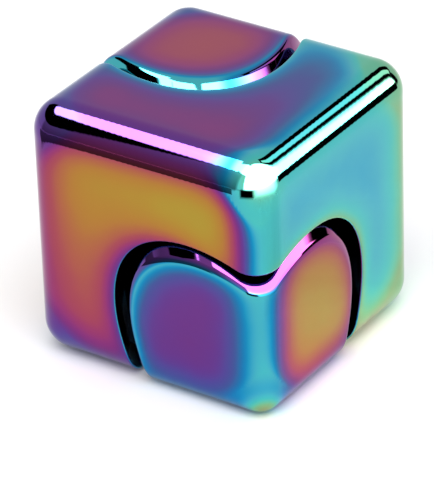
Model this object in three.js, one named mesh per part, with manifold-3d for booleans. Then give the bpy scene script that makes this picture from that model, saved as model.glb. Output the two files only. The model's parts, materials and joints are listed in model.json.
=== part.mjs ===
// Pull-apart metal cube spinner. Two opposite corners of a rounded cube are separate
// pieces, joined through the cube by a shaft that turns in a small ball bearing.
// Millimetres, +Z up. The origin is the centre of the square that the cube stands on.

import * as THREE from 'three';
import { mergeVertices } from 'three/addons/utils/BufferGeometryUtils.js';
import { RoundedBoxGeometry } from 'three/addons/geometries/RoundedBoxGeometry.js';
import Module from 'manifold-3d';

const wasm = await Module();
wasm.setup();

// ---- Driving dimensions -------------------------------------------------------------

const CUBE_EDGE = 25.4;
const CUBE_EDGE_RADIUS = 3.0;
const STEM_CORNER_EDGE_RADIUS = 2.2;

// Distances called "height" run along the spin axis from the centre of the cube.
const RECESS_RADIUS = 11.2;
const RECESS_FLOOR_HEIGHT = 3.0;
const CORNER_RADIUS = 10.2;
const CORNER_RIM_HEIGHT = 4.9;
const CORNER_RIM_THICKNESS = 0.9;
const CORNER_WALL = 1.8;

const BOSS_RADIUS = 5.2;
const BOSS_HEIGHT = 2.7;
const NOSE_RADIUS = 4.1;

const BEARING_BORE_RADIUS = 3.175;
const BEARING_OUTER_RADIUS = 6.35;
const BEARING_HALF_WIDTH = 2.38125;
const BEARING_CHAMFER = 0.2;
const BALL_RADIUS = 0.79375;
const BALL_COUNT = 10;
const RACEWAY_RADIUS = 0.8255;
const INNER_SHOULDER_RADIUS = 4.2;
const OUTER_SHOULDER_RADIUS = 5.2;
const SHIELD_SEAT_RADIUS = 5.6;
const SHIELD_SEAT_HEIGHT = 1.95;
const SHIELD_THICKNESS = 0.2;
const SHIELD_GAP = 0.15;
const CAGE_INNER_RADIUS = 4.45;
const CAGE_OUTER_RADIUS = 5.05;
const CAGE_HALF_WIDTH = 1.1;
const CAGE_POCKET_RADIUS = BALL_RADIUS + 0.04;

const COLLAR_RADIUS = 9.1;
const COLLAR_FACE_HEIGHT = 3.9;
const LIP_BORE_RADIUS = 5.75;
const RETAINING_RING_BORE_RADIUS = 6.0;
const SLOT_WIDTH = 0.45;
const SLOT_DEPTH = 0.6;

const SHAFT_RADIUS = 3.15;
const SHAFT_END_HEIGHT = 9.6;
const SHAFT_END_CHAMFER = 0.4;
const TENON_RADIUS = 2.3;
const TENON_END_HEIGHT = 12.3;
const TENON_SHOULDER_RISE = 0.28;
const COUNTERBORE_RADIUS = 3.45;
const GROOVE_HEIGHT = 5.3;
const GROOVE_FLOOR_RADIUS = 2.5;
const GROOVE_FLOOR_HALF_WIDTH = 0.4;

const SOCKET_BORE_RADIUS = 3.35;
const SOCKET_MOUTH_CHAMFER = 0.25;
const SOCKET_DEPTH_HEIGHT = 10.2;
const SNAP_RING_MEAN_RADIUS = 3.55;
const SNAP_RING_SECTION_RADIUS = 0.33;

const FIT_GAP = 0.03;
const FACE_GAP = 0.04;
const BEYOND = 30;

// ---- Values that follow from them ---------------------------------------------------

const BALL_PITCH_RADIUS = (BEARING_BORE_RADIUS + BEARING_OUTER_RADIUS) / 2;
const BEARING_SEAT_HEIGHT = BEARING_HALF_WIDTH + FACE_GAP;
const NOSE_HEIGHT = BEARING_HALF_WIDTH + FACE_GAP;

const CAST_SEGMENTS = 60;
const CUBE_EDGE_STEPS = 3;
const TURNED_SEGMENTS = 36;
const RACEWAY_STEPS = 4;
const SNAP_RING_STEPS = 8;
const BALL_SEGMENTS = 12;
const BALL_RINGS = 8;
const POCKET_SEGMENTS = 10;
const WELD_DISTANCE = 1e-4;

// ---- Materials ----------------------------------------------------------------------

function metal(color, roughness) {
  return new THREE.MeshStandardMaterial({ color, roughness, metalness: 1 });
}

const platedBody = metal(0x6f7fb4, 0.12);
const platedCorner = metal(0x9a5fa6, 0.12);
const platedRing = metal(0xd98fd0, 0.18);
const bearingSteel = metal(0xc4c8cc, 0.22);
const cageSteel = metal(0xa9a48c, 0.4);
const rubber = new THREE.MeshStandardMaterial({ color: 0x1c1c1e, roughness: 0.8, metalness: 0 });

// ---- Geometry helpers ---------------------------------------------------------------

// The spin axis runs through two opposite corners of the cube. In the axis frame it is
// local Y, and local X lies along a diagonal of the top face.
const spinAxis = new THREE.Vector3(1, 1, 1).normalize();
const acrossAxis = new THREE.Vector3(1, -1, 0).normalize();
const axisFrame = new THREE.Matrix4().makeBasis(
  acrossAxis,
  spinAxis,
  new THREE.Vector3().crossVectors(acrossAxis, spinAxis),
);
const flippedFrame = axisFrame.clone().multiply(new THREE.Matrix4().makeRotationX(Math.PI));

function toSolid(geometry) {
  const bare = geometry.clone();
  bare.deleteAttribute('normal');
  bare.deleteAttribute('uv');
  const merged = mergeVertices(bare, WELD_DISTANCE);
  return new wasm.Manifold(new wasm.Mesh({
    numProp: 3,
    vertProperties: new Float32Array(merged.attributes.position.array),
    triVerts: new Uint32Array(merged.index.array),
  }));
}

function toGeometry(solid) {
  const mesh = solid.getMesh();
  const geometry = new THREE.BufferGeometry();
  geometry.setAttribute('position', new THREE.BufferAttribute(mesh.vertProperties, 3));
  geometry.setIndex(new THREE.BufferAttribute(mesh.triVerts, 1));
  geometry.computeVertexNormals();
  return geometry;
}

// A body of revolution about local Y. The outline lists [radius, height] pairs and runs
// upward on its outer side, so that the faces point out.
function revolve(outline, segments = TURNED_SEGMENTS) {
  const points = outline.map(([radius, height]) => new THREE.Vector2(radius, height));
  return new THREE.LatheGeometry(points, segments);
}

function revolveClosed(outline, segments = TURNED_SEGMENTS) {
  return revolve([...outline, outline[0]], segments);
}

function cylinderBetween(radius, low, high, segments = CAST_SEGMENTS) {
  return revolve([[0, low], [radius, low], [radius, high], [0, high]], segments);
}

function arcPoints(centre, radius, startAngle, endAngle, steps) {
  return Array.from({ length: steps + 1 }, (_, step) => {
    const angle = startAngle + ((endAngle - startAngle) * step) / steps;
    return [centre[0] + radius * Math.cos(angle), centre[1] + radius * Math.sin(angle)];
  });
}

function roundedCube(edgeRadius = CUBE_EDGE_RADIUS) {
  return new RoundedBoxGeometry(
    CUBE_EDGE, CUBE_EDGE, CUBE_EDGE, CUBE_EDGE_STEPS, edgeRadius);
}

function part(name, geometry, material) {
  const mesh = new THREE.Mesh(geometry, material);
  mesh.name = name;
  return mesh;
}

// ---- Cast pieces, drawn in the cube's own directions --------------------------------

function cubeBodyGeometry() {
  const socketSide = revolve([
    [0, -BEARING_SEAT_HEIGHT],
    [BEARING_OUTER_RADIUS + FIT_GAP, -BEARING_SEAT_HEIGHT],
    [BEARING_OUTER_RADIUS + FIT_GAP, BEARING_SEAT_HEIGHT],
    [COLLAR_RADIUS + FIT_GAP, BEARING_SEAT_HEIGHT],
    [COLLAR_RADIUS + FIT_GAP, RECESS_FLOOR_HEIGHT],
    [RECESS_RADIUS, RECESS_FLOOR_HEIGHT],
    [RECESS_RADIUS, BEYOND],
    [0, BEYOND],
  ], CAST_SEGMENTS);
  const stemSide = revolve([
    [0, 0],
    [LIP_BORE_RADIUS, 0],
    [LIP_BORE_RADIUS, COLLAR_FACE_HEIGHT],
    [COLLAR_RADIUS, COLLAR_FACE_HEIGHT],
    [COLLAR_RADIUS, RECESS_FLOOR_HEIGHT],
    [RECESS_RADIUS, RECESS_FLOOR_HEIGHT],
    [RECESS_RADIUS, BEYOND],
    [0, BEYOND],
  ], CAST_SEGMENTS);
  return toGeometry(
    toSolid(roundedCube())
      .subtract(toSolid(socketSide.applyMatrix4(axisFrame)))
      .subtract(toSolid(stemSide.applyMatrix4(flippedFrame))),
  );
}

// A corner of the cube, turned down to a cylinder and hollowed to a cup with a boss in
// its middle. The two differ in the bore, drawn upward from the boss, and in their edges.
function cornerGeometry(boreOutline, frame, edgeRadius) {
  const place = (geometry) => toSolid(geometry.applyMatrix4(frame));
  const outside = toSolid(roundedCube(edgeRadius))
    .intersect(place(cylinderBetween(CORNER_RADIUS, CORNER_RIM_HEIGHT, BEYOND)));
  const hollowEdge = CUBE_EDGE - 2 * CORNER_WALL;
  const hollow = toSolid(new THREE.BoxGeometry(hollowEdge, hollowEdge, hollowEdge))
    .intersect(place(cylinderBetween(CORNER_RADIUS - CORNER_RIM_THICKNESS, 0, BEYOND)));
  const boss = place(revolve([
    [0, NOSE_HEIGHT],
    [NOSE_RADIUS, NOSE_HEIGHT],
    [NOSE_RADIUS, BOSS_HEIGHT],
    [BOSS_RADIUS, BOSS_HEIGHT],
    [BOSS_RADIUS, SOCKET_DEPTH_HEIGHT],
    [0, SOCKET_DEPTH_HEIGHT],
  ]));
  const core = place(cylinderBetween(BOSS_RADIUS, BOSS_HEIGHT, BEYOND, TURNED_SEGMENTS));
  return toGeometry(
    outside.subtract(hollow.subtract(core)).add(boss).subtract(place(revolve(boreOutline))),
  );
}

function socketCornerGeometry() {
  const grooveRadius = SNAP_RING_MEAN_RADIUS + SNAP_RING_SECTION_RADIUS + FIT_GAP;
  const grooveHalfWidth = SNAP_RING_SECTION_RADIUS + FIT_GAP;
  return cornerGeometry([
    [0, 0],
    [SOCKET_BORE_RADIUS + SOCKET_MOUTH_CHAMFER, 0],
    [SOCKET_BORE_RADIUS + SOCKET_MOUTH_CHAMFER, NOSE_HEIGHT],
    [SOCKET_BORE_RADIUS, NOSE_HEIGHT + SOCKET_MOUTH_CHAMFER],
    [SOCKET_BORE_RADIUS, GROOVE_HEIGHT - grooveHalfWidth],
    [grooveRadius, GROOVE_HEIGHT - grooveHalfWidth],
    [grooveRadius, GROOVE_HEIGHT + grooveHalfWidth],
    [SOCKET_BORE_RADIUS, GROOVE_HEIGHT + grooveHalfWidth],
    [SOCKET_BORE_RADIUS, SOCKET_DEPTH_HEIGHT],
    [0, SOCKET_DEPTH_HEIGHT],
  ], axisFrame, CUBE_EDGE_RADIUS);
}

function stemCornerGeometry() {
  return cornerGeometry([
    [0, 0],
    [COUNTERBORE_RADIUS, 0],
    [COUNTERBORE_RADIUS, CORNER_RIM_HEIGHT],
    [TENON_RADIUS + FIT_GAP, CORNER_RIM_HEIGHT],
    [TENON_RADIUS + FIT_GAP, TENON_END_HEIGHT + FACE_GAP],
    [0, TENON_END_HEIGHT + FACE_GAP],
  ], flippedFrame, STEM_CORNER_EDGE_RADIUS);
}

// ---- Turned pieces, drawn about the spin axis ---------------------------------------

// The tenon is pressed into the stem corner. The bearing runs on the full diameter, and
// the snap ring clicks into the V-shaped groove near the free end.
function shaftGeometry() {
  const grooveDepth = SHAFT_RADIUS - GROOVE_FLOOR_RADIUS;
  const grooveHalfWidth = GROOVE_FLOOR_HALF_WIDTH + grooveDepth;
  return revolve([
    [0, -TENON_END_HEIGHT],
    [TENON_RADIUS, -TENON_END_HEIGHT],
    [TENON_RADIUS, -BEARING_HALF_WIDTH],
    [SHAFT_RADIUS, -BEARING_HALF_WIDTH + TENON_SHOULDER_RISE],
    [SHAFT_RADIUS, GROOVE_HEIGHT - grooveHalfWidth],
    [GROOVE_FLOOR_RADIUS, GROOVE_HEIGHT - GROOVE_FLOOR_HALF_WIDTH],
    [GROOVE_FLOOR_RADIUS, GROOVE_HEIGHT + GROOVE_FLOOR_HALF_WIDTH],
    [SHAFT_RADIUS, GROOVE_HEIGHT + grooveHalfWidth],
    [SHAFT_RADIUS, SHAFT_END_HEIGHT - SHAFT_END_CHAMFER],
    [SHAFT_RADIUS - SHAFT_END_CHAMFER, SHAFT_END_HEIGHT],
    [0, SHAFT_END_HEIGHT],
  ]);
}

function innerRingGeometry() {
  const reach = Math.acos((BALL_PITCH_RADIUS - INNER_SHOULDER_RADIUS) / RACEWAY_RADIUS);
  const raceway = arcPoints(
    [BALL_PITCH_RADIUS, 0], RACEWAY_RADIUS, Math.PI + reach, Math.PI - reach, RACEWAY_STEPS);
  return revolveClosed([
    [BEARING_BORE_RADIUS + BEARING_CHAMFER, -BEARING_HALF_WIDTH],
    [INNER_SHOULDER_RADIUS, -BEARING_HALF_WIDTH],
    ...raceway,
    [INNER_SHOULDER_RADIUS, BEARING_HALF_WIDTH],
    [BEARING_BORE_RADIUS + BEARING_CHAMFER, BEARING_HALF_WIDTH],
    [BEARING_BORE_RADIUS, BEARING_HALF_WIDTH - BEARING_CHAMFER],
    [BEARING_BORE_RADIUS, -BEARING_HALF_WIDTH + BEARING_CHAMFER],
  ]);
}

function outerRingGeometry() {
  const reach = Math.acos((OUTER_SHOULDER_RADIUS - BALL_PITCH_RADIUS) / RACEWAY_RADIUS);
  const raceway = arcPoints([BALL_PITCH_RADIUS, 0], RACEWAY_RADIUS, reach, -reach, RACEWAY_STEPS);
  return revolveClosed([
    [BEARING_OUTER_RADIUS - BEARING_CHAMFER, -BEARING_HALF_WIDTH],
    [BEARING_OUTER_RADIUS, -BEARING_HALF_WIDTH + BEARING_CHAMFER],
    [BEARING_OUTER_RADIUS, BEARING_HALF_WIDTH - BEARING_CHAMFER],
    [BEARING_OUTER_RADIUS - BEARING_CHAMFER, BEARING_HALF_WIDTH],
    [SHIELD_SEAT_RADIUS, BEARING_HALF_WIDTH],
    [SHIELD_SEAT_RADIUS, SHIELD_SEAT_HEIGHT],
    [OUTER_SHOULDER_RADIUS, SHIELD_SEAT_HEIGHT],
    ...raceway,
    [OUTER_SHOULDER_RADIUS, -SHIELD_SEAT_HEIGHT],
    [SHIELD_SEAT_RADIUS, -SHIELD_SEAT_HEIGHT],
    [SHIELD_SEAT_RADIUS, -BEARING_HALF_WIDTH],
  ]);
}

function shieldGeometry(side) {
  const innerRadius = INNER_SHOULDER_RADIUS + SHIELD_GAP;
  const outerRadius = SHIELD_SEAT_RADIUS - FIT_GAP;
  const middle = side * (SHIELD_SEAT_HEIGHT + FACE_GAP + SHIELD_THICKNESS / 2);
  return revolveClosed([
    [outerRadius, middle - SHIELD_THICKNESS / 2],
    [outerRadius, middle + SHIELD_THICKNESS / 2],
    [innerRadius, middle + SHIELD_THICKNESS / 2],
    [innerRadius, middle - SHIELD_THICKNESS / 2],
  ]);
}

function ballPosition(index) {
  const angle = (2 * Math.PI * index) / BALL_COUNT;
  return new THREE.Vector3(Math.cos(angle), 0, Math.sin(angle)).multiplyScalar(BALL_PITCH_RADIUS);
}

function cageGeometry() {
  let cage = toSolid(revolveClosed([
    [CAGE_OUTER_RADIUS, -CAGE_HALF_WIDTH],
    [CAGE_OUTER_RADIUS, CAGE_HALF_WIDTH],
    [CAGE_INNER_RADIUS, CAGE_HALF_WIDTH],
    [CAGE_INNER_RADIUS, -CAGE_HALF_WIDTH],
  ]));
  for (let index = 0; index < BALL_COUNT; index += 1) {
    const { x, y, z } = ballPosition(index);
    const pocket = new THREE.SphereGeometry(CAGE_POCKET_RADIUS, POCKET_SEGMENTS, BALL_RINGS);
    cage = cage.subtract(toSolid(pocket.translate(x, y, z)));
  }
  return toGeometry(cage);
}

function retainingRingGeometry() {
  const ring = toSolid(revolveClosed([
    [COLLAR_RADIUS, BEARING_SEAT_HEIGHT + FACE_GAP],
    [COLLAR_RADIUS, COLLAR_FACE_HEIGHT],
    [RETAINING_RING_BORE_RADIUS, COLLAR_FACE_HEIGHT],
    [RETAINING_RING_BORE_RADIUS, BEARING_SEAT_HEIGHT + FACE_GAP],
  ], CAST_SEGMENTS));
  const slot = new THREE.BoxGeometry(3 * COLLAR_RADIUS, 2 * SLOT_DEPTH, SLOT_WIDTH)
    .translate(0, COLLAR_FACE_HEIGHT, 0);
  return toGeometry(ring.subtract(toSolid(slot)));
}

function snapRingGeometry() {
  const section = arcPoints(
    [SNAP_RING_MEAN_RADIUS, GROOVE_HEIGHT],
    SNAP_RING_SECTION_RADIUS,
    0,
    2 * Math.PI,
    SNAP_RING_STEPS,
  );
  return revolve(section);
}

// ---- Assembly -----------------------------------------------------------------------

const cubeCentre = new THREE.Group();
cubeCentre.position.set(0, 0, CUBE_EDGE / 2);
cubeCentre.add(
  part('cube_body', cubeBodyGeometry(), platedBody),
  part('stem_corner', stemCornerGeometry(), platedCorner),
  part('socket_corner', socketCornerGeometry(), platedCorner),
);

const onAxis = new THREE.Group();
onAxis.quaternion.setFromRotationMatrix(axisFrame);
onAxis.add(
  part('centre_shaft', shaftGeometry(), platedCorner),
  part('snap_ring', snapRingGeometry(), rubber),
  part('bearing_retaining_ring', retainingRingGeometry(), platedRing),
  part('bearing_outer_ring', outerRingGeometry(), bearingSteel),
  part('bearing_inner_ring', innerRingGeometry(), bearingSteel),
  part('bearing_shield_stem_side', shieldGeometry(-1), bearingSteel),
  part('bearing_shield_socket_side', shieldGeometry(1), bearingSteel),
  part('bearing_cage', cageGeometry(), cageSteel),
);
const ballGeometry = new THREE.SphereGeometry(BALL_RADIUS, BALL_SEGMENTS, BALL_RINGS);
for (let index = 0; index < BALL_COUNT; index += 1) {
  const ball = part(`bearing_ball_${index + 1}`, ballGeometry, bearingSteel);
  ball.position.copy(ballPosition(index));
  onAxis.add(ball);
}
cubeCentre.add(onAxis);

const cubeSpinner = new THREE.Group();
cubeSpinner.add(cubeCentre);

export default cubeSpinner;
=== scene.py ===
"""Looks for the pull-apart cube spinner: a mirror-polished, rainbow-plated metal cube.

Two opposite corners are cups on a common axle through a small ball bearing. Every shape is
computed about the spin axis: radius and height there, and the cube's own faces outside.
"""

import json
import math

import bpy
import numpy as np
from mathutils import Matrix, Vector


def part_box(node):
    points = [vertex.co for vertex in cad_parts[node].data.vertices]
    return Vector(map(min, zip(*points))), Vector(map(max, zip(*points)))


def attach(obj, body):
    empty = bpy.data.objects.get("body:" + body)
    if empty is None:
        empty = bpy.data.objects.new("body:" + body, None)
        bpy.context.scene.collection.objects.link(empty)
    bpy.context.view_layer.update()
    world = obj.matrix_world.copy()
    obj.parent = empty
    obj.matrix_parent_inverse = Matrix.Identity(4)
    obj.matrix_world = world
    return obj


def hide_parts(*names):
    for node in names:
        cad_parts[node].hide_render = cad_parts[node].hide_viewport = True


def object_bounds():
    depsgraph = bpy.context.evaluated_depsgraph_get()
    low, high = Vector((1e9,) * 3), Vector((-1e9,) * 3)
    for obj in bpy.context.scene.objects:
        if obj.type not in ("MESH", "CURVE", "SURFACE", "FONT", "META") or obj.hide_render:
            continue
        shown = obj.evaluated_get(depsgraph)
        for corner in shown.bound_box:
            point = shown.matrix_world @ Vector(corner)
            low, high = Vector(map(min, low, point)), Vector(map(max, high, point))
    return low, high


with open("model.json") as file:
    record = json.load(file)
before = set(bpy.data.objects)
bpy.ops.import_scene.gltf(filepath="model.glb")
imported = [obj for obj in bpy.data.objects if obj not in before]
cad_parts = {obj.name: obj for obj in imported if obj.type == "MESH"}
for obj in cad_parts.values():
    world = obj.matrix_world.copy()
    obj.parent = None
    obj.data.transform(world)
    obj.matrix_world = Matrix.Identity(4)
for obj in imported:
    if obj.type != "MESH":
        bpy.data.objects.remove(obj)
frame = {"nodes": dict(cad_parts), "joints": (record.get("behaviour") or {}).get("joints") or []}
cad_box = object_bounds()

# ---- Sizes in millimetres. "Height" runs along the spin axis from the cube's centre ------

MM = 0.001
CUBE_EDGE = 25.4
CUBE_EDGE_RADIUS = 3.0
STEM_CORNER_EDGE_RADIUS = 2.2
HALF_EDGE = CUBE_EDGE / 2

RECESS_RADIUS = 11.2
RECESS_FLOOR = 3.0
RECESS_LIP = 0.3
CORNER_RADIUS = 10.2
CORNER_LIP = 0.3
CORNER_RIM = 4.9
CUP_RADIUS = 9.3
CUP_WALL = 1.8
CUP_EDGE_RADIUS = 1.4
BOSS_RADIUS = 5.2
BOSS_FACE = 2.7
NOSE_RADIUS = 4.1
NOSE_FACE = 2.42

BEARING_BORE = 3.175
BEARING_RADIUS = 6.35
BEARING_HALF = 2.38125
BEARING_PITCH = 4.7625
BALL_RADIUS = 0.79375
RACEWAY_RADIUS = 0.8255
INNER_SHOULDER = 4.2
OUTER_SHOULDER = 5.2
SHIELD_SEAT = 5.6
SHIELD_LEVEL = 1.95

COLLAR_RADIUS = 9.1
COLLAR_FACE = 3.9
LIP_BORE = 5.75
RING_BORE = 6.0
RING_SEAT = 2.42
SLOT_WIDTH = 0.45
SLOT_DEPTH = 0.6

SHAFT_RADIUS = 3.15
SHAFT_END = 9.6
TENON_RADIUS = 2.3
TENON_END = 12.3
GROOVE_LEVEL = 5.3
GROOVE_RADIUS = 2.5
GROOVE_HALF = 0.4
COUNTERBORE = 3.45
SOCKET_BORE = 3.35
SOCKET_END = 10.2
SNAP_RING_RADIUS = 3.55
SNAP_RING_SECTION = 0.33
FIT = 0.03

# Steps around the axis, and rows along the body's outer surface.
BODY_COLUMNS = 432
BODY_ROWS = 170
CORNER_COLUMNS = 360
TURNED_COLUMNS = 144
BALL_COLUMNS = 24
BALL_RINGS = 16

# Depths below the cube's faces at which painted shade on the walls of the gaps begins and reaches its
# full strength.
BODY_SHADE = (0.35, 1.55)
CORNER_SHADE = (2.2, 5.2)

# ---- The spin axis ---------------------------------------------------------------------

spin = next(joint for joint in frame["joints"] if joint["name"] == "spin")
CENTRE = np.array(spin["pos_m"]) / MM
AXIS = np.array(spin["axis"]) / np.linalg.norm(spin["axis"])
ACROSS = np.array([1.0, -1.0, 0.0]) / math.sqrt(2)
THIRD = np.cross(AXIS, ACROSS)


def at(radius, angle, height):
    """Points, from the cube's centre, of a radius, angle and height about the spin axis."""
    radius, angle, height = (np.asarray(v, float)[..., None] for v in (radius, angle, height))
    return radius * (np.cos(angle) * ACROSS + np.sin(angle) * THIRD) + height * AXIS


def cube_distance(points, edge, radius):
    """How far points lie outside a rounded cube about the centre."""
    beyond = np.abs(points) - (edge / 2 - radius)
    outside = np.linalg.norm(np.maximum(beyond, 0), axis=-1)
    return outside + np.minimum(beyond.max(axis=-1), 0) - radius


def rounded_meeting(first, second, lip):
    """The common inside of two shapes with the edge between them rounded by lip."""
    rounded = np.hypot(np.maximum(first + lip, 0), np.maximum(second + lip, 0)) - lip
    return np.where(np.maximum(first, second) > -lip, rounded, np.maximum(first, second))


def reach(inside, start, direction, furthest=40.0, halvings=44):
    """The distance from start, a (radius, height), along direction to the surface."""
    near = np.zeros(np.broadcast(start[0], start[1], direction[0], direction[1]).shape)
    far = near + furthest
    for _ in range(halvings):
        middle = (near + far) / 2
        within = inside(start[0] + middle * direction[0], start[1] + middle * direction[1]) < 0
        near, far = np.where(within, middle, near), np.where(within, far, middle)
    return near


def softened(outline, radius=0.12, steps=3, closed=False):
    """A polyline of (radius, height) points with its corners turned into small arcs."""
    points = [np.array(p, float) for p in outline]
    made = []
    for index, point in enumerate(points):
        if not closed and index in (0, len(points) - 1):
            made.append(tuple(point))
            continue
        before = points[index - 1] - point
        after = points[(index + 1) % len(points)] - point
        cut_before = min(radius, 0.4 * np.linalg.norm(before))
        cut_after = min(radius, 0.4 * np.linalg.norm(after))
        start = point + before / np.linalg.norm(before) * cut_before
        end = point + after / np.linalg.norm(after) * cut_after
        for t in np.linspace(0, 1, steps + 1):
            made.append(tuple((1 - t) ** 2 * start + 2 * t * (1 - t) * point + t * t * end))
    return made


def arc(centre, radius, first, last, steps):
    """Points of a circular arc in the (radius, height) plane; angles in radians."""
    return [
        (centre[0] + radius * math.cos(a), centre[1] + radius * math.sin(a))
        for a in np.linspace(first, last, steps + 1)
    ]


def column_angles(columns):
    """The angles of evenly spaced columns."""
    return 2 * math.pi * np.arange(columns) / columns


def mesh_from_rows(name, rows, columns, side=1, closed=False):
    """A closed surface around the spin axis, from (radius, height) rows.

    Both are one number, or one for each column. A row of no radius is a single point.
    """
    angles = column_angles(columns)
    places, starts, poles = [], [], []
    for radius, height in rows:
        pole = np.max(np.abs(radius)) < 1e-9
        angle = angles[:1] if pole else angles
        radius = np.zeros(1) if pole else np.broadcast_to(radius, angle.shape)
        height = np.broadcast_to(np.ravel(height)[: len(angle)], angle.shape)
        starts.append(sum(len(p) for p in places))
        poles.append(pole)
        places.append(at(radius, angle, side * height))
    points = np.concatenate(places)
    here = np.arange(columns)
    after = (here + 1) % columns
    faces = []
    pairs = list(zip(range(len(rows)), range(1, len(rows))))
    if closed:
        pairs.append((len(rows) - 1, 0))
    for low, high in pairs:
        a, b = starts[low], starts[high]
        if poles[low]:
            faces += [(a, b + j, b + i) for i, j in zip(here, after)]
        elif poles[high]:
            faces += [(a + i, a + j, b) for i, j in zip(here, after)]
        else:
            faces += [(a + i, a + j, b + j, b + i) for i, j in zip(here, after)]
    return solid(name, points, faces)


def solid(name, points, faces):
    """A smooth-shaded object from points in millimetres about the centre, facing outward."""
    quads = np.array([f if len(f) == 4 else (*f, f[2]) for f in faces])
    corners = points[quads]
    areas = np.cross(corners[:, 2] - corners[:, 0], corners[:, 3] - corners[:, 1])
    if np.einsum("ij,ij->i", corners[:, 0], areas).sum() < 0:
        faces = [tuple(reversed(f)) for f in faces]
        areas = -areas
    normals = np.zeros_like(points)
    for corner in range(4):
        np.add.at(normals, quads[:, corner], areas)
    normals /= np.maximum(np.linalg.norm(normals, axis=1, keepdims=True), 1e-12)
    mesh = bpy.data.meshes.new(name)
    mesh.from_pydata(((points + CENTRE) * MM).tolist(), [], [tuple(map(int, f)) for f in faces])
    mesh.shade_smooth()
    mesh.normals_split_custom_set_from_vertices(normals.tolist())
    obj = bpy.data.objects.new(name, mesh)
    bpy.context.scene.collection.objects.link(obj)
    store(obj, "turned_radius", np.linalg.norm(np.cross(points, AXIS), axis=1))
    return obj, points, normals


def store(obj, attribute, values):
    """Keeps one number for each point, for the material to read."""
    made = obj.data.attributes.new(attribute, "FLOAT", "POINT")
    made.data.foreach_set("value", np.asarray(values, np.float32))


# ---- The film of plating, which sets the colour ------------------------------------------

FILM_RANGE = 1.08
REST_WEIGHT = 0.02
VERTEX_WEIGHT = 6
WALL_BLEND = 0.1
LEFT, RIGHT, TOP = (-1, 0, 0), (0, -1, 0), (0, 0, 1)
FAR_RIGHT, FAR_LEFT, BOTTOM = (1, 0, 0), (0, 1, 0), (0, 0, -1)


def face_shares(normals, table):
    """For each face in the table, how much each normal looks its way, with the table's entry."""
    for face, entry in table.items():
        yield np.maximum(normals @ np.array(face, float), 0) ** 4, entry


def film_thickness(points, normals, films, from_rim):
    """The film's relative thickness: a value for each face, drawn to others near edges and rims."""
    total = np.full(len(points), REST_WEIGHT)
    film = total * films["rest"]
    rim = total * films["rest"]
    for share, (level, slope) in face_shares(normals, films["faces"]):
        film = film + share * (level + points @ np.array(slope))
        total = total + share
    for share, (level, slope) in face_shares(normals, films["rims"]):
        rim = rim + share * (level + points @ np.array(slope))
    film, rim = film / total, rim / total
    pull = np.zeros(len(points))
    target = np.zeros(len(points))
    for sides, (level, width) in films["edges"].items():
        depths = [HALF_EDGE - points @ np.array(face, float) for face in sides]
        near = np.exp(-((np.linalg.norm(depths, axis=0) / width) ** 2))
        near = near * (VERTEX_WEIGHT if len(sides) == 3 else 1)
        pull += near
        target += near * level
    target /= np.maximum(pull, 1e-9)
    film += (rim - film) * np.exp(-np.maximum(from_rim, 0) / films["rim_width"])
    film += (target - film) * np.minimum(pull, 1)
    level, slope, (thinnest, thickest) = films["wall"]
    wall = np.clip(level + points @ np.array(slope), thinnest, thickest)
    film += (wall - film) * np.clip((WALL_BLEND - from_rim) / (2 * WALL_BLEND), 0, 1)
    return np.clip(film, 0, FILM_RANGE)


# Face and rim: thickness at the middle, and its change per millimetre. Edge or corner:
# thickness and width. Wall of the bore: as for a face, with the least and the most.
BODY_FILMS = {
    "rest": 0.55,
    "rim_width": 0.75,
    "faces": {
        LEFT: (0.14, (0, 0.007, -0.014)),
        RIGHT: (0.785, (0, 0, 0)),
        TOP: (0.555, (0.013, 0, 0)),
        FAR_RIGHT: (0.40, (0, 0.010, 0.008)),
        FAR_LEFT: (0.14, (0.012, 0, 0.010)),
        BOTTOM: (0.66, (0.008, 0.008, 0)),
    },
    "edges": {
        (LEFT, RIGHT): (0.88, 3.1),
        (LEFT, TOP): (0.60, 3.4),
        (LEFT, FAR_LEFT): (0.45, 3.6),
        (LEFT, BOTTOM): (0.58, 3.2),
        (RIGHT, TOP): (0.88, 3.4),
        (RIGHT, FAR_RIGHT): (1.00, 4.2),
        (RIGHT, BOTTOM): (1.04, 4.0),
        (TOP, FAR_RIGHT): (0.84, 3.6),
        (TOP, FAR_LEFT): (0.70, 3.0),
        (FAR_RIGHT, FAR_LEFT): (0.84, 3.8),
        (FAR_RIGHT, BOTTOM): (0.70, 3.8),
        (FAR_LEFT, BOTTOM): (0.80, 3.8),
        (LEFT, RIGHT, TOP): (1.08, 2.2),
        (RIGHT, FAR_RIGHT, TOP): (0.97, 2.2),
    },
    "rims": {
        LEFT: (0.50, (0, 0.045, 0)),
        RIGHT: (0.97, (0, 0, 0)),
        TOP: (0.84, (0, 0, 0)),
        FAR_RIGHT: (0.80, (0, 0, 0)),
        FAR_LEFT: (0.72, (0, 0, 0)),
        BOTTOM: (0.90, (0, 0, 0)),
    },
    "wall": (0.80, (0, 0, 0), (0, 1)),
}
STEM_FILMS = {
    "rest": 0.60,
    "rim_width": 0.8,
    "faces": {
        LEFT: (0.52, (0, 0, 0)),
        RIGHT: (0.10, (0, 0, 0)),
        BOTTOM: (0.80, (0, 0, 0)),
    },
    "edges": {
        (LEFT, RIGHT): (0.84, 3.3),
        (LEFT, BOTTOM): (0.70, 2.8),
        (RIGHT, BOTTOM): (0.56, 3.0),
        (LEFT, RIGHT, BOTTOM): (1.35, 1.6),
    },
    "rims": {
        LEFT: (0.84, (0, 0, 0)),
        RIGHT: (0.45, (0, 0, 0)),
        BOTTOM: (0.84, (0, 0, 0)),
    },
    "wall": (0.48, (-0.006, 0.006, 0), (0.30, 0.60)),
}
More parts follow.
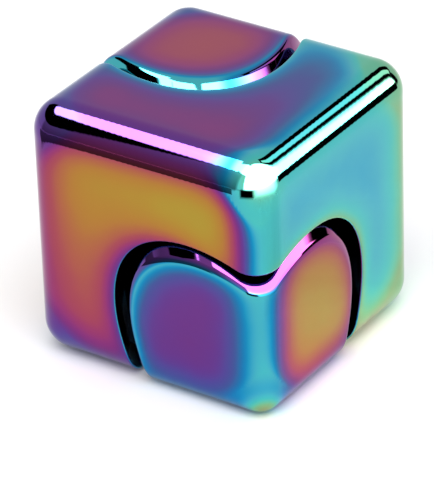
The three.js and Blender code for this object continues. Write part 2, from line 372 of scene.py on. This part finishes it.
SOCKET_FILMS = {
    "rest": 0.66,
    "rim_width": 0.85,
    "faces": {
        TOP: (0.315, (0, 0, 0)),
        FAR_RIGHT: (0.62, (0, 0, 0)),
        FAR_LEFT: (0.16, (0, 0, 0)),
    },
    "edges": {
        (TOP, FAR_RIGHT): (0.60, 3.2),
        (TOP, FAR_LEFT): (0.58, 3.2),
        (FAR_RIGHT, FAR_LEFT): (0.80, 3.8),
    },
    "rims": {
        TOP: (0.80, (0, 0, 0)),
        FAR_RIGHT: (0.84, (0, 0, 0)),
        FAR_LEFT: (0.48, (0, 0, 0)),
    },
    "wall": (0.80, (-0.044, 0.044, 0), (0.45, 0.82)),
}

# ---- The three castings ----------------------------------------------------------------


def from_axis(points):
    return np.linalg.norm(np.cross(points, AXIS), axis=1)


def shaded(depth, limits):
    """The strength of painted shade: from 0 at the first depth to 1 at the second."""
    return np.clip((depth - limits[0]) / (limits[1] - limits[0]), 0, 1)


def even_turns(turns, travel, count):
    """For each column, the turns at count even marks of its travel."""
    even = np.empty((count, turns.shape[1]))
    for column in range(turns.shape[1]):
        marks = np.linspace(0, travel[-1, column], count)
        even[:, column] = np.interp(marks, travel[:, column], turns[:, column])
    return even


def cube_body():
    """The cube with both corners bored away, a collar in the stem side and a bearing seat."""
    angles = column_angles(BODY_COLUMNS)
    heart = 13.0
    wall_end = RECESS_FLOOR + 0.4

    def inside(radius, height):
        outer = cube_distance(at(radius, angles, height), CUBE_EDGE, CUBE_EDGE_RADIUS)
        return rounded_meeting(outer, RECESS_RADIUS - radius, RECESS_LIP)

    def surface(turns):
        direction = (np.cos(turns), np.sin(turns))
        length = reach(inside, (heart, 0.0), direction)
        return heart + length * direction[0], length * direction[1]

    # A fine sweep comes first. The rows then lie closer at the lips and wider on the walls.
    half_sweep = math.atan2(wall_end, RECESS_RADIUS - heart)
    fine = np.linspace(half_sweep, -half_sweep, 700)[:, None] + 0 * angles
    radius, height = surface(fine)
    step = np.hypot(np.diff(radius, axis=0), np.diff(height, axis=0))
    middle_height = (height[1:] + height[:-1]) / 2
    middle_radius = (radius[1:] + radius[:-1]) / 2
    middles = at(middle_radius, angles, middle_height)
    off_wall = middle_radius - RECESS_RADIUS
    off_face = -cube_distance(middles, CUBE_EDGE, CUBE_EDGE_RADIUS)
    near_lip = np.exp(-(((np.abs(off_wall) + np.abs(off_face)) / 0.5) ** 2))
    wanted = np.where(off_wall < 0.02, 0.15, 1.0) + 5 * near_lip
    travel = np.concatenate([np.zeros((1, len(angles))), np.cumsum(step * wanted, axis=0)])
    radius, height = surface(even_turns(fine, travel, BODY_ROWS))
    rows = list(zip(radius, height))
    inner = softened([
        (RECESS_RADIUS, -wall_end),
        (RECESS_RADIUS, -RECESS_FLOOR),
        (COLLAR_RADIUS, -RECESS_FLOOR),
        (COLLAR_RADIUS, -COLLAR_FACE),
        (LIP_BORE, -COLLAR_FACE),
        (LIP_BORE, -RING_SEAT),
        (BEARING_RADIUS + FIT, -RING_SEAT),
        (BEARING_RADIUS + FIT, RING_SEAT),
        (COLLAR_RADIUS + FIT, RING_SEAT),
        (COLLAR_RADIUS + FIT, RECESS_FLOOR),
        (RECESS_RADIUS, RECESS_FLOOR),
        (RECESS_RADIUS, wall_end),
    ])
    rows += inner[1:-1]
    obj, points, normals = mesh_from_rows("body_casting", rows, BODY_COLUMNS, closed=True)
    from_rim = from_axis(points) - RECESS_RADIUS - WALL_BLEND
    depth = -cube_distance(points, CUBE_EDGE, CUBE_EDGE_RADIUS)
    store(obj, "film", film_thickness(points, normals, BODY_FILMS, from_rim))
    # Painted shade: the recess turns dark with depth below the cube's faces, in place of the shade
    # deep in the gap.
    store(obj, "painted_gap_shade", shaded(depth, BODY_SHADE))
    return obj


def corner(name, side, bore, edge_radius, films):
    """A corner of the cube turned down to a cylinder and hollowed to a cup around a boss."""
    angles = column_angles(CORNER_COLUMNS)

    def outside(radius, height):
        outer = cube_distance(at(radius, angles, side * height), CUBE_EDGE, edge_radius)
        return rounded_meeting(outer, radius - CORNER_RADIUS, CORNER_LIP)

    def hollow(radius, height):
        edge = CUBE_EDGE - 2 * CUP_WALL
        return cube_distance(at(radius, angles, side * height), edge, CUP_EDGE_RADIUS)

    # The cap rises from a level inside the metal. Its border is swept from a ring below.
    start = CORNER_RIM + 0.5
    cap_end = CORNER_RADIUS - 1.0
    radii = np.linspace(0, cap_end, 44)[:, None] + 0 * angles
    heights = start + reach(outside, (radii, start), (0.0, 1.0))
    rows = list(zip(radii, heights))
    below = heights[-1] - 2.2
    turns = np.linspace(math.pi / 2, 0, 30)[1:, None] + 0 * angles
    length = reach(outside, (cap_end, below), (np.cos(turns), np.sin(turns)))
    rows += list(zip(cap_end + length * np.cos(turns), below + length * np.sin(turns)))
    wall_start = rows[-1][1]
    wall_end = CORNER_RIM + 0.3
    for share in (0.33, 0.66):
        rows.append((CORNER_RADIUS, wall_start + (wall_end - wall_start) * share))

    def ceiling(radius):
        radius = np.full(len(angles), float(radius))
        return start + reach(hollow, (radius, start), (0.0, 1.0))

    rows += softened([
        (CORNER_RADIUS, wall_end),
        (CORNER_RADIUS, CORNER_RIM),
        (CUP_RADIUS, CORNER_RIM),
        (CUP_RADIUS, wall_end),
    ])
    cup_turn = 0.35
    wall_top = ceiling(CUP_RADIUS)
    for drop in (1.0, 0.55):
        rows.append((CUP_RADIUS, wall_top - drop))
    for t in (0.25, 0.5, 0.75):
        inward = CUP_RADIUS - cup_turn * t * t
        rows.append((inward, ceiling(inward) - cup_turn * (1 - t) ** 2))
    for radius in np.linspace(CUP_RADIUS - cup_turn, BOSS_RADIUS + cup_turn, 14):
        rows.append((radius, ceiling(radius)))
    for t in (0.25, 0.5, 0.75, 1.0):
        inward = BOSS_RADIUS + cup_turn * (1 - t) ** 2
        rows.append((inward, ceiling(inward) - cup_turn * t * t))
    boss_top = rows[-1][1]
    rows.append((BOSS_RADIUS, boss_top - 0.5))
    rows += softened([
        (BOSS_RADIUS, BOSS_FACE + 0.5),
        (BOSS_RADIUS, BOSS_FACE),
        (NOSE_RADIUS, BOSS_FACE),
        (NOSE_RADIUS, NOSE_FACE),
        *bore,
    ], radius=0.1)
    obj, points, normals = mesh_from_rows(name, rows, CORNER_COLUMNS, side=side)
    off_axis = from_axis(points)
    depth = -cube_distance(points, CUBE_EDGE, edge_radius)
    from_rim = CORNER_RADIUS - WALL_BLEND - off_axis
    outer_wall = off_axis > (CUP_RADIUS + CORNER_RADIUS) / 2
    store(obj, "film", film_thickness(points, normals, films, from_rim))
    # Painted shade: the outer wall of the corner turns dark with depth below the cube's faces, in
    # place of the shade in the gap.
    store(obj, "painted_gap_shade", shaded(depth, CORNER_SHADE) * outer_wall)
    return obj


def stem_corner():
    return corner("stem_corner_casting", -1, [
        (COUNTERBORE, NOSE_FACE),
        (COUNTERBORE, CORNER_RIM),
        (TENON_RADIUS + FIT, CORNER_RIM),
        (TENON_RADIUS + FIT, TENON_END + FIT),
        (0, TENON_END + FIT),
    ], STEM_CORNER_EDGE_RADIUS, STEM_FILMS)


def socket_corner():
    groove = SNAP_RING_RADIUS + SNAP_RING_SECTION + FIT
    half = SNAP_RING_SECTION + FIT
    return corner("socket_corner_casting", 1, [
        (SOCKET_BORE + 0.25, NOSE_FACE),
        (SOCKET_BORE, NOSE_FACE + 0.25),
        (SOCKET_BORE, GROOVE_LEVEL - half),
        (groove, GROOVE_LEVEL - half),
        (groove, GROOVE_LEVEL + half),
        (SOCKET_BORE, GROOVE_LEVEL + half),
        (SOCKET_BORE, SOCKET_END),
        (0, SOCKET_END),
    ], CUBE_EDGE_RADIUS, SOCKET_FILMS)


# ---- Turned pieces ---------------------------------------------------------------------


def turned(name, outline, radius=0.1, closed=False):
    """A piece turned about the spin axis, with small rounds on its corners."""
    rows = softened(outline, radius=radius, closed=closed)
    obj, points, _ = mesh_from_rows(name, rows, TURNED_COLUMNS, closed=closed)
    return obj, points


def shaft():
    slope = GROOVE_HALF + SHAFT_RADIUS - GROOVE_RADIUS
    obj, points = turned("axle_shaft", [
        (0, -TENON_END),
        (TENON_RADIUS, -TENON_END),
        (TENON_RADIUS, -BEARING_HALF),
        (SHAFT_RADIUS, -BEARING_HALF + 0.28),
        (SHAFT_RADIUS, GROOVE_LEVEL - slope),
        (GROOVE_RADIUS, GROOVE_LEVEL - GROOVE_HALF),
        (GROOVE_RADIUS, GROOVE_LEVEL + GROOVE_HALF),
        (SHAFT_RADIUS, GROOVE_LEVEL + slope),
        (SHAFT_RADIUS, SHAFT_END - 0.4),
        (SHAFT_RADIUS - 0.4, SHAFT_END),
        (0, SHAFT_END),
    ])
    height = points @ AXIS
    store(obj, "film", 0.46 + 0.10 * np.sin(0.5 * height))
    store(obj, "painted_gap_shade", np.zeros(len(points)))
    return obj


def inner_ring():
    """The inner race, with a raceway of circular section."""
    turn = math.acos((BEARING_PITCH - INNER_SHOULDER) / RACEWAY_RADIUS)
    return turned("inner_race", [
        (BEARING_BORE, -BEARING_HALF),
        (INNER_SHOULDER, -BEARING_HALF),
        *arc((BEARING_PITCH, 0), RACEWAY_RADIUS, math.pi + turn, math.pi - turn, 10),
        (INNER_SHOULDER, BEARING_HALF),
        (BEARING_BORE, BEARING_HALF),
    ], closed=True)[0]


def outer_ring():
    """The outer race, with its raceway and a seat for a shield on each side."""
    turn = math.acos((OUTER_SHOULDER - BEARING_PITCH) / RACEWAY_RADIUS)
    return turned("outer_race", [
        (BEARING_RADIUS, -BEARING_HALF),
        (BEARING_RADIUS, BEARING_HALF),
        (SHIELD_SEAT, BEARING_HALF),
        (SHIELD_SEAT, SHIELD_LEVEL),
        (OUTER_SHOULDER, SHIELD_LEVEL),
        *arc((BEARING_PITCH, 0), RACEWAY_RADIUS, turn, -turn, 10),
        (OUTER_SHOULDER, -SHIELD_LEVEL),
        (SHIELD_SEAT, -SHIELD_LEVEL),
        (SHIELD_SEAT, -BEARING_HALF),
    ], closed=True)[0]


def shield(name, side):
    """A pressed washer, dished inward at its bore."""
    inner, outer = INNER_SHOULDER + 0.15, SHIELD_SEAT - FIT
    level, thick = SHIELD_LEVEL + 0.04, 0.2
    return turned(name, [
        (outer, side * level),
        (outer, side * (level + thick)),
        (inner + 0.35, side * (level + thick)),
        (inner + 0.2, side * (level + thick - 0.06)),
        (inner, side * (level + thick - 0.06)),
        (inner, side * level),
    ], radius=0.05, closed=True)[0]


def snap_ring():
    rows = arc((SNAP_RING_RADIUS, GROOVE_LEVEL), SNAP_RING_SECTION, 0, 2 * math.pi, 16)[:-1]
    return mesh_from_rows("snap_o_ring", rows, TURNED_COLUMNS, closed=True)[0]


def retaining_ring():
    """The ring over the bearing, with a screwdriver slot on one diameter."""
    seat = RING_SEAT + 0.04
    obj, _ = turned("slotted_ring", [
        (COLLAR_RADIUS, seat),
        (COLLAR_RADIUS, COLLAR_FACE),
        (RING_BORE, COLLAR_FACE),
        (RING_BORE, seat),
    ], closed=True)
    bar = bpy.data.meshes.new("slot_cutter")
    half = np.array([1.5 * COLLAR_RADIUS, SLOT_WIDTH / 2, SLOT_DEPTH])
    corners = [np.array([x, y, z]) * half for x in (-1, 1) for y in (-1, 1) for z in (-1, 1)]
    placed = [CENTRE + c[0] * ACROSS + c[1] * THIRD + (c[2] + COLLAR_FACE) * AXIS for c in corners]
    sides = [(0, 1, 3, 2), (4, 6, 7, 5), (0, 4, 5, 1), (2, 3, 7, 6), (0, 2, 6, 4), (1, 5, 7, 3)]
    bar.from_pydata([tuple(p * MM) for p in placed], [], sides)
    cutter = bpy.data.objects.new("slot_cutter", bar)
    bpy.context.scene.collection.objects.link(cutter)
    cut = obj.modifiers.new("slot", "BOOLEAN")
    cut.operation = "DIFFERENCE"
    cut.object = cutter
    cut.solver = "EXACT"
    evaluated = obj.evaluated_get(bpy.context.evaluated_depsgraph_get())
    slotted = bpy.data.meshes.new_from_object(evaluated)
    obj.modifiers.clear()
    obj.data = slotted
    bpy.data.objects.remove(cutter)
    count = len(obj.data.vertices)
    store(obj, "film", np.full(count, 0.47))
    store(obj, "painted_gap_shade", np.zeros(count))
    obj.data.set_sharp_from_angle(angle=math.radians(50))
    return obj


def ball(index, node):
    """A steel ball at the middle of its CAD node."""
    low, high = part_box(node)
    middle = (np.array(low) + np.array(high)) / 2 / MM - CENTRE
    rings = BALL_RINGS
    columns = BALL_COLUMNS
    points = [middle + (0, 0, BALL_RADIUS)]
    for ring in range(1, rings):
        tilt = math.pi * ring / rings
        for column in range(columns):
            turn = 2 * math.pi * column / columns
            outward = np.array([
                math.sin(tilt) * math.cos(turn),
                math.sin(tilt) * math.sin(turn),
                math.cos(tilt),
            ])
            points.append(middle + BALL_RADIUS * outward)
    points.append(middle - (0, 0, BALL_RADIUS))
    last = len(points) - 1
    faces = []
    for column in range(columns):
        after = (column + 1) % columns
        faces.append((0, 1 + column, 1 + after))
        faces.append((last, last - columns + after, last - columns + column))
        for ring in range(rings - 2):
            a, b = 1 + ring * columns, 1 + (ring + 1) * columns
            faces.append((a + column, b + column, b + after, a + after))
    return solid(f"steel_ball_{index}", np.array(points), faces)[0]


# ---- Materials -------------------------------------------------------------------------


def linear(red, green, blue):
    """Linear colour of a display colour given as 0 to 255."""
    def one(value):
        value /= 255
        return value / 12.92 if value <= 0.04045 else ((value + 0.055) / 1.055) ** 2.4
    return (one(red), one(green), one(blue), 1.0)


# The order in which a growing oxide film takes its colours.
FILM_COLOURS = [
    (0.00, linear(178, 160, 62)),
    (0.10, linear(183, 143, 58)),
    (0.19, linear(184, 122, 66)),
    (0.28, linear(177, 92, 86)),
    (0.36, linear(165, 71, 104)),
    (0.43, linear(148, 60, 125)),
    (0.50, linear(122, 58, 134)),
    (0.58, linear(98, 74, 154)),
    (0.66, linear(64, 104, 164)),
    (0.74, linear(30, 146, 194)),
    (0.80, linear(72, 180, 200)),
    (0.87, linear(88, 198, 186)),
    (0.93, linear(128, 192, 150)),
    (1.00, linear(160, 172, 122)),
    (1.08, linear(184, 146, 108)),
]
REFLECTANCE = 0.8


def node_material(name):
    """A new material with its nodes, its links and its shader."""
    material = bpy.data.materials.new(name)
    material.use_nodes = True
    nodes, links = material.node_tree.nodes, material.node_tree.links
    return material, nodes, links, nodes["Principled BSDF"]


def noise(nodes, links, source, scale, detail=3.0):
    made = nodes.new("ShaderNodeTexNoise")
    made.inputs["Scale"].default_value = scale
    made.inputs["Detail"].default_value = detail
    links.new(source, made.inputs["Vector"])
    return made.outputs["Fac"]


def math_node(nodes, links, operation, first, second):
    """A sum or other operation on two values, each a number or a node's output."""
    made = nodes.new("ShaderNodeMath")
    made.operation = operation
    for socket, value in zip(made.inputs, (first, second)):
        if isinstance(value, (int, float)):
            socket.default_value = value
        else:
            links.new(value, socket)
    return made.outputs[0]


def ranged(nodes, links, source, low, high):
    """Spreads a value of 0 to 1 from low to high."""
    made = nodes.new("ShaderNodeMapRange")
    made.inputs["To Min"].default_value = low
    made.inputs["To Max"].default_value = high
    links.new(source, made.inputs["Value"])
    return made.outputs["Result"]


def attribute(nodes, name):
    made = nodes.new("ShaderNodeAttribute")
    made.attribute_name = name
    return made.outputs["Fac"]


def mixed(nodes, links, factor, first, second):
    """A colour between two others, each a colour or a node's output."""
    made = nodes.new("ShaderNodeMix")
    made.data_type = "RGBA"
    links.new(factor, made.inputs["Factor"])
    for socket, colour in (("A", first), ("B", second)):
        if isinstance(colour, tuple):
            made.inputs[socket].default_value = (*colour, 1)
        else:
            links.new(colour, made.inputs[socket])
    return made.outputs["Result"]


def bumped(nodes, links, shader, height, strength, distance):
    """Gives the shader a relief of height."""
    made = nodes.new("ShaderNodeBump")
    made.inputs["Strength"].default_value = strength
    made.inputs["Distance"].default_value = distance
    links.new(height, made.inputs["Height"])
    links.new(made.outputs["Normal"], shader.inputs["Normal"])


def plated(name, roughness=0.03, gap_shade=0.05):
    """Polished metal under an interference film. The film's thickness picks the colour, and painted
    shade darkens it deep in the gaps.
    """
    material, nodes, links, shader = node_material(name)
    place = nodes.new("ShaderNodeTexCoord").outputs["Object"]
    broad = ranged(nodes, links, noise(nodes, links, place, 260, 2), -0.018, 0.018)
    film = math_node(nodes, links, "ADD", attribute(nodes, "film"), broad)
    ramp = nodes.new("ShaderNodeValToRGB")
    ramp.color_ramp.interpolation = "CARDINAL"
    stops = ramp.color_ramp.elements
    while len(stops) < len(FILM_COLOURS):
        stops.new(0.5)
    for stop, (thickness, colour) in zip(stops, FILM_COLOURS):
        stop.position = thickness / FILM_RANGE
        stop.color = [REFLECTANCE * channel for channel in colour[:3]] + [1.0]
    links.new(math_node(nodes, links, "DIVIDE", film, FILM_RANGE), ramp.inputs["Fac"])
    # Painted shade: deep in the gaps the film's colour is mixed toward a near-black colour.
    dark = (gap_shade, gap_shade * 0.9, gap_shade * 1.2)
    colour = mixed(nodes, links, attribute(nodes, "painted_gap_shade"), ramp.outputs["Color"], dark)
    links.new(colour, shader.inputs["Base Color"])
    shader.inputs["Metallic"].default_value = 1.0
    haze = noise(nodes, links, place, 900, 4)
    haze = ranged(nodes, links, haze, roughness * 0.7, roughness * 1.3)
    links.new(haze, shader.inputs["Roughness"])
    bumped(nodes, links, shader, noise(nodes, links, place, 1400, 2), 0.015, 0.0001)
    return material


def steel(name, colour, roughness, marks=0.25):
    """Turned steel: fine rings around the spin axis in its roughness and surface."""
    material, nodes, links, shader = node_material(name)
    place = nodes.new("ShaderNodeTexCoord").outputs["Object"]
    rings = nodes.new("ShaderNodeTexNoise")
    rings.noise_dimensions = "1D"
    rings.inputs["Scale"].default_value = 9.0
    rings.inputs["Detail"].default_value = 5.0
    links.new(attribute(nodes, "turned_radius"), rings.inputs["W"])
    blotch = noise(nodes, links, place, 500, 3)
    darker = tuple(channel * 0.92 for channel in colour)
    links.new(mixed(nodes, links, blotch, darker, colour), shader.inputs["Base Color"])
    shader.inputs["Metallic"].default_value = 1.0
    haze = ranged(nodes, links, rings.outputs["Fac"], roughness * 0.6, roughness * 1.4)
    links.new(haze, shader.inputs["Roughness"])
    bumped(nodes, links, shader, rings.outputs["Fac"], marks, 0.00002)
    return material


def rubber(name):
    """Matt black rubber with a fine grain."""
    material, nodes, links, shader = node_material(name)
    place = nodes.new("ShaderNodeTexCoord").outputs["Object"]
    grain = noise(nodes, links, place, 2500, 4)
    colour = mixed(nodes, links, grain, (0.010, 0.010, 0.011), (0.022, 0.022, 0.024))
    links.new(colour, shader.inputs["Base Color"])
    links.new(ranged(nodes, links, grain, 0.45, 0.7), shader.inputs["Roughness"])
    bumped(nodes, links, shader, grain, 0.3, 0.00003)
    return material


def dress(obj, material, body, slot, *nodes):
    """Gives an object its material and its body, and hides the CAD nodes it stands for. The slot is
    not used.
    """
    obj.data.materials.clear()
    obj.data.materials.append(material)
    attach(obj, body)
    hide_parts(*nodes)


PLATING = plated("rainbow_plating")
BEARING_STEEL = steel("turned_bearing_steel", (0.62, 0.64, 0.66), 0.16)
SHIELD_STEEL = steel("pressed_shield_steel", (0.40, 0.41, 0.42), 0.28)
CAGE_STEEL = steel("pressed_cage_steel", (0.42, 0.38, 0.28), 0.35)
RUBBER = rubber("black_rubber")

dress(cube_body(), PLATING, "hub", "plated_body", "cube_body")
dress(stem_corner(), PLATING, "stem_side", "plated_corner", "stem_corner")
dress(socket_corner(), PLATING, "socket_side", "plated_corner", "socket_corner")
dress(shaft(), PLATING, "stem_side", "plated_corner", "centre_shaft")
dress(retaining_ring(), PLATING, "hub", "plated_ring", "bearing_retaining_ring")
dress(outer_ring(), BEARING_STEEL, "hub", "bearing_steel", "bearing_outer_ring")
dress(inner_ring(), BEARING_STEEL, "spindle", "bearing_steel", "bearing_inner_ring")
dress(
    shield("shield_stem_side", -1), SHIELD_STEEL, "hub", "bearing_steel",
    "bearing_shield_stem_side")
dress(
    shield("shield_socket_side", 1), SHIELD_STEEL, "hub", "bearing_steel",
    "bearing_shield_socket_side")
dress(snap_ring(), RUBBER, "socket_side", "snap_ring_rubber", "snap_ring")
for number in range(1, 11):
    node = f"bearing_ball_{number}"
    dress(ball(number, node), BEARING_STEEL, "ball_set", "bearing_steel", node)
cage = frame["nodes"]["bearing_cage"]
for index in range(len(cage.data.materials)):
    cage.data.materials[index] = CAGE_STEEL

# ---- Floor, light and camera -------------------------------------------------------------

FLOOR_HALF = 3.0
floor_level = cad_box[0][2]
floor_corners = [(-1, -1), (1, -1), (1, 1), (-1, 1)]
floor_mesh = bpy.data.meshes.new("floor")
floor_mesh.from_pydata(
    [(x * FLOOR_HALF, y * FLOOR_HALF, floor_level) for x, y in floor_corners],
    [], [(0, 1, 2, 3)])
floor = bpy.data.objects.new("floor", floor_mesh)
bpy.context.scene.collection.objects.link(floor)
floor_material, _, _, floor_shader = node_material("pale_floor")
floor_shader.inputs["Base Color"].default_value = (0.86, 0.86, 0.86, 1)
floor_shader.inputs["Roughness"].default_value = 0.9
floor_shader.inputs["Specular IOR Level"].default_value = 0.0
floor_mesh.materials.append(floor_material)

middle = Vector(CENTRE * MM)


def direction(azimuth, elevation):
    """A unit vector; azimuth 0 looks from the front (-Y) side and grows to the right."""
    azimuth, elevation = math.radians(azimuth), math.radians(elevation)
    return Vector((
        math.sin(azimuth) * math.cos(elevation),
        -math.cos(azimuth) * math.cos(elevation),
        math.sin(elevation),
    ))


def aimed(position, target):
    """A matrix at position whose -Z looks at target."""
    back = (position - target).normalized()
    side = Vector((0, 0, 1)).cross(back).normalized()
    up = back.cross(side)
    return Matrix.Translation(position) @ Matrix((side, up, back)).transposed().to_4x4()


def softbox(name, azimuth, elevation, distance, width, height, power):
    """A soft rectangular light aimed at the cube."""
    light = bpy.data.lights.new(name, "AREA")
    light.shape = "RECTANGLE"
    light.size = width
    light.size_y = height
    light.energy = power
    lamp = bpy.data.objects.new(name, light)
    lamp.matrix_world = aimed(middle + distance * direction(azimuth, elevation), middle)
    lamp.visible_camera = False
    lamp.visible_glossy = False
    bpy.context.scene.collection.objects.link(lamp)


def glowing(name, points, glow, cover):
    """A surface that only reflections see, from a grid of points with their glow and cover."""
    rows, columns = len(points), len(points[0])
    faces = [
        (r * columns + c, r * columns + c + 1, (r + 1) * columns + c + 1, (r + 1) * columns + c)
        for r in range(rows - 1) for c in range(columns - 1)
    ]
    mesh = bpy.data.meshes.new(name)
    mesh.from_pydata([tuple(point) for row in points for point in row], [], faces)
    obj = bpy.data.objects.new(name, mesh)
    bpy.context.scene.collection.objects.link(obj)
    store(obj, "glow", np.ravel(glow))
    store(obj, "cover", np.ravel(cover))
    material = bpy.data.materials.new(name)
    material.use_nodes = True
    nodes, links = material.node_tree.nodes, material.node_tree.links
    nodes.remove(nodes["Principled BSDF"])
    emission = nodes.new("ShaderNodeEmission")
    emission.inputs["Color"].default_value = (1, 1, 1, 1)
    links.new(attribute(nodes, "glow"), emission.inputs["Strength"])
    edge = nodes.new("ShaderNodeMixShader")
    links.new(attribute(nodes, "cover"), edge.inputs["Fac"])
    links.new(nodes.new("ShaderNodeBsdfTransparent").outputs["BSDF"], edge.inputs[1])
    links.new(emission.outputs["Emission"], edge.inputs[2])
    links.new(edge.outputs["Shader"], nodes["Material Output"].inputs["Surface"])
    mesh.materials.append(material)
    for ray in ("camera", "diffuse", "shadow", "transmission", "volume_scatter"):
        setattr(obj, f"visible_{ray}", False)


def faded(low, high, soft, steps):
    """Values from low to high with their cover, which fades over soft at both ends."""
    values = np.array([low, *np.linspace(low + soft, high - soft, steps), high])
    return values, np.array([0.0] + [1.0] * steps + [0.0])


def panel(name, azimuths, elevations, level, soft=1.5, distance=0.6, around=middle):
    """Part of a sphere around a point, between two azimuths and two elevations.

    It glows by level, or from its lower to its upper border by a pair of levels.
    """
    turns, turn_cover = faded(*azimuths, soft, 33)
    tilts, tilt_cover = faded(*elevations, soft, 17)
    points = [[around + distance * direction(a, e) for a in turns] for e in tilts]
    lower, upper = level if isinstance(level, tuple) else (level, level)
    glow = np.interp(tilts, elevations, (lower, upper))[:, None] + 0 * turns
    glowing(name, points, glow, tilt_cover[:, None] * turn_cover)


def floor_patch(name, start, azimuths, distances, levels, soft=6.0):
    """A sector just over the floor around the foot of start, glowing more with distance."""
    turns, turn_cover = faded(*azimuths, soft, 9)
    lengths, length_cover = faded(*distances, 0.3 * (distances[1] - distances[0]), 9)
    share = (lengths - distances[0]) / (distances[1] - distances[0])
    glow = (levels[0] + (levels[1] - levels[0]) * share ** 2)[:, None] + 0 * turns
    foot = Vector((start.x, start.y, floor_level + 0.0001))
    points = [[foot + float(length) * direction(a, 0) for a in turns] for length in lengths]
    glowing(name, points, glow, length_cover[:, None] * turn_cover)


world = bpy.data.worlds.new("studio")
bpy.context.scene.world = world
world.use_nodes = True
surroundings = world.node_tree.nodes["Background"]
surroundings.inputs["Color"].default_value = (1, 1, 1, 1)
surroundings.inputs["Strength"].default_value = 0.95

# Panels placed around an edge or a corner are close to it, so that other parts of the cube
# see little of them. The white ones make the bright bars, the dark ones the lines beside them.
arris = (HALF_EDGE - 0.3 * CUBE_EDGE_RADIUS) * MM
top_left_edge = middle + Vector((-arris, 0, arris))
top_right_edge = middle + Vector((0, -arris, arris))
near_top = middle + Vector((-arris, -arris, arris))

softbox("front_overhead", -55, 62, 0.6, 0.5, 0.4, 2.2)
panel("white_overhead", (-84, 56), (3, 89), 13.0, soft=5.0)
panel("left_of_overhead", (-104, -70), (2, 66), 1.35, soft=3.0, distance=0.62)
panel("white_back_left", (-190, -128), (47, 66), 11.5)
panel("white_bridge", (-172, -76), (50, 86), 12.0, distance=0.05, around=near_top)
panel("dark_left_low", (-165, -104), (-26, -6), (0.12, 0.22), distance=0.04, around=top_left_edge)
panel("dark_left", (-160, -98), (-10, 48), (0.2, 0.8), soft=8.0, distance=0.095, around=top_left_edge)
panel("black_left", (-200, -128), (18, 47.5), 0.0, distance=0.082, around=top_left_edge)
panel("black_under_corner", (-100, -44), (-30, 6), 0.0, soft=8.0, distance=0.045, around=near_top)
panel("front_glow", (-56, 42), (-34, 20), (1.1, 9.0), soft=20.0, distance=0.04, around=near_top)
panel("black_right_low", (38, 60), (-8.5, 8), 0.0, distance=0.1, around=top_right_edge)
panel("black_right", (56, 72), (-6, 24), 0.0, distance=0.5)
panel("black_frame", (56, 88), (22, 62), 0.0, distance=0.5)
panel("right_window", (62.5, 75), (26, 57), 2.0, distance=0.45)
floor_patch("bright_front", near_top, (-30, 90), (0.018, 0.048), (1.0, 1.3), soft=50.0)

view = bpy.context.scene.view_settings
view.view_transform = "Standard"
view.look = "None"

# Angles in degrees, distances in metres from the cube's middle, lens in millimetres.
CAMERA_AZIMUTH = -55.516
CAMERA_ELEVATION = 30.555
CAMERA_ROLL = -1.989
CAMERA_DISTANCE = 0.36175
CAMERA_RIGHT = -0.000516
CAMERA_UP = -0.004081
FOCAL_LENGTH = 332.4
SENSOR = 36.0

back = direction(CAMERA_AZIMUTH, CAMERA_ELEVATION)
level_right = Vector((0, 0, 1)).cross(back).normalized()
level_up = back.cross(level_right)
roll = math.radians(CAMERA_ROLL)
camera_right = math.cos(roll) * level_right + math.sin(roll) * level_up
camera_up = -math.sin(roll) * level_right + math.cos(roll) * level_up
lens = bpy.data.cameras.new("camera")
lens.lens = FOCAL_LENGTH
lens.sensor_width = SENSOR
lens.sensor_fit = "HORIZONTAL"
lens.clip_start = 0.01
lens.clip_end = 20
camera = bpy.data.objects.new("camera", lens)
bpy.context.scene.collection.objects.link(camera)
eye = middle + CAMERA_RIGHT * camera_right + CAMERA_UP * camera_up + CAMERA_DISTANCE * back
camera.matrix_world = (
    Matrix.Translation(eye) @ Matrix((camera_right, camera_up, back)).transposed().to_4x4()
)
bpy.context.scene.camera = camera
